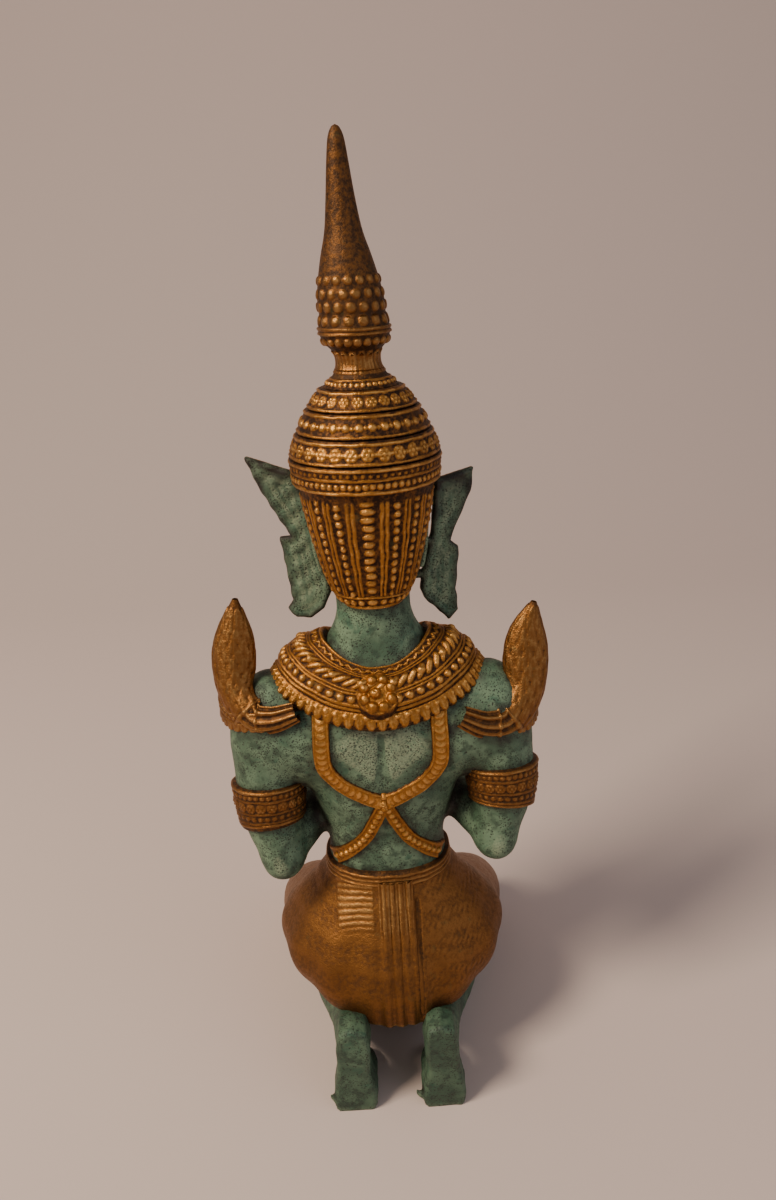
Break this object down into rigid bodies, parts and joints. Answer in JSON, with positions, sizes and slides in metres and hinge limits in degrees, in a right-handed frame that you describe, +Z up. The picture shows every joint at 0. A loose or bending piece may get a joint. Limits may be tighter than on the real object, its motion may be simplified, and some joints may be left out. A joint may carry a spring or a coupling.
{
  "type": "kneeling theppanom statue",
  "caption": "Kneeling praying angel statue with a tall tiered crown, broad collar, ear flames and shoulder flames, cast in one piece to stand on its knees and tucked toes.",
  "frame": {"origin": "on the surface that the figure kneels on, under the middle of its bounding box", "axes": "+Z up, the figure faces -Y, its left side is +X"},
  "size_m": [0.0802, 0.0818, 0.2319],
  "materials": {
    "verdigris_bronze": "cast bronze under a pale green to dark green verdigris patina",
    "gilt_bronze": "cast relief under worn gold paint with dark brown recesses"
  },
  "bodies": {
    "root": {"theppanom_casting": "verdigris_bronze"}
  },
  "joints": []
}
